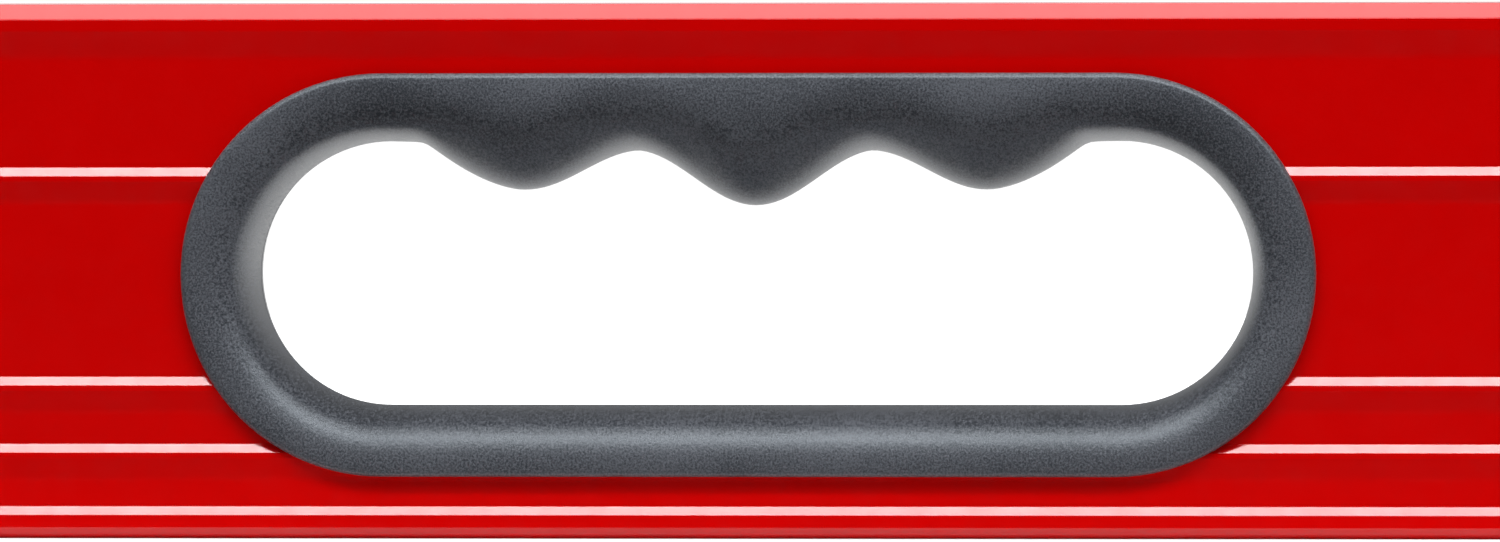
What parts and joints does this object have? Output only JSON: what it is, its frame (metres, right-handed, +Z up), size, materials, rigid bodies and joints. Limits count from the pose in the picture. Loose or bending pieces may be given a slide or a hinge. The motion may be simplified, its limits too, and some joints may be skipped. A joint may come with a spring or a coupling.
{
  "type": "spirit level",
  "caption": "Box-section spirit level with moulded hand grips, a horizontal vial read from the top and sides, plumb vials and pull-off end caps.",
  "frame": {"origin": "middle of the lower measuring face", "axes": "+X along the level, +Y from the front face to the rear face, +Z up"},
  "size_m": [0.8, 0.027, 0.062],
  "materials": {
    "red_powder_coat": "gloss",
    "grip_rubber": "matte",
    "grip_core_plastic": "matte",
    "vial_acrylic": "polished",
    "vial_liquid": "clear",
    "vial_air": "clear",
    "vial_ring": "gloss",
    "vial_plug_plastic": "matte",
    "reflector_plastic": "matte",
    "lens_acrylic": "polished",
    "carrier_plastic": "satin",
    "cap_plastic": "satin",
    "bumper_rubber": "matte"
  },
  "bodies": {
    "level": {"centre_carrier_front": "carrier_plastic", "centre_carrier_rear": "carrier_plastic", "centre_top_lens": "lens_acrylic", "centre_vial_block": "vial_acrylic", "centre_vial_fluid": "vial_liquid", "centre_vial_plug": "vial_plug_plastic", "centre_vial_reflector": "reflector_plastic", "centre_vial_rings": "vial_ring", "frame_profile": "red_powder_coat", "grip_left_front_core": "grip_core_plastic", "grip_left_front_skin": "grip_rubber", "grip_left_rear_core": "grip_core_plastic", "grip_left_rear_skin": "grip_rubber", "grip_right_front_core": "grip_core_plastic", "grip_right_front_skin": "grip_rubber", "grip_right_rear_core": "grip_core_plastic", "grip_right_rear_skin": "grip_rubber", "plumb_left_carrier_front": "carrier_plastic", "plumb_left_carrier_rear": "carrier_plastic", "plumb_left_vial_block": "vial_acrylic", "plumb_left_vial_fluid": "vial_liquid", "plumb_left_vial_plug": "vial_plug_plastic", "plumb_left_vial_rings": "vial_ring", "plumb_right_carrier_front": "carrier_plastic", "plumb_right_carrier_rear": "carrier_plastic", "plumb_right_vial_block": "vial_acrylic", "plumb_right_vial_fluid": "vial_liquid", "plumb_right_vial_plug": "vial_plug_plastic", "plumb_right_vial_rings": "vial_ring"},
    "centre_bubble": {"centre_vial_bubble": "vial_air"},
    "left_plumb_bubble": {"plumb_left_vial_bubble": "vial_air"},
    "right_plumb_bubble": {"plumb_right_vial_bubble": "vial_air"},
    "left_cap": {"cap_left_core": "cap_plastic", "cap_left_bumper": "bumper_rubber"},
    "right_cap": {"cap_right_core": "cap_plastic", "cap_right_bumper": "bumper_rubber"}
  },
  "joints": [
    {"name": "centre_bubble_slide", "type": "slide", "parent": "level", "child": "centre_bubble", "axis": [1, 0, 0], "range_m": [-0.009, 0.009], "stiffness_N_per_m": 0.5},
    {"name": "left_plumb_bubble_slide", "type": "slide", "parent": "level", "child": "left_plumb_bubble", "axis": [0, 0, 1], "range_m": [-0.018, 0], "stiffness_N_per_m": 0.5, "springref_m": 0.02},
    {"name": "right_plumb_bubble_slide", "type": "slide", "parent": "level", "child": "right_plumb_bubble", "axis": [0, 0, 1], "range_m": [-0.018, 0], "stiffness_N_per_m": 0.5, "springref_m": 0.02},
    {"name": "left_cap_slide", "type": "slide", "parent": "level", "child": "left_cap", "axis": [-1, 0, 0], "range_m": [0, 0.03]},
    {"name": "right_cap_slide", "type": "slide", "parent": "level", "child": "right_cap", "axis": [1, 0, 0], "range_m": [0, 0.03]}
  ]
}
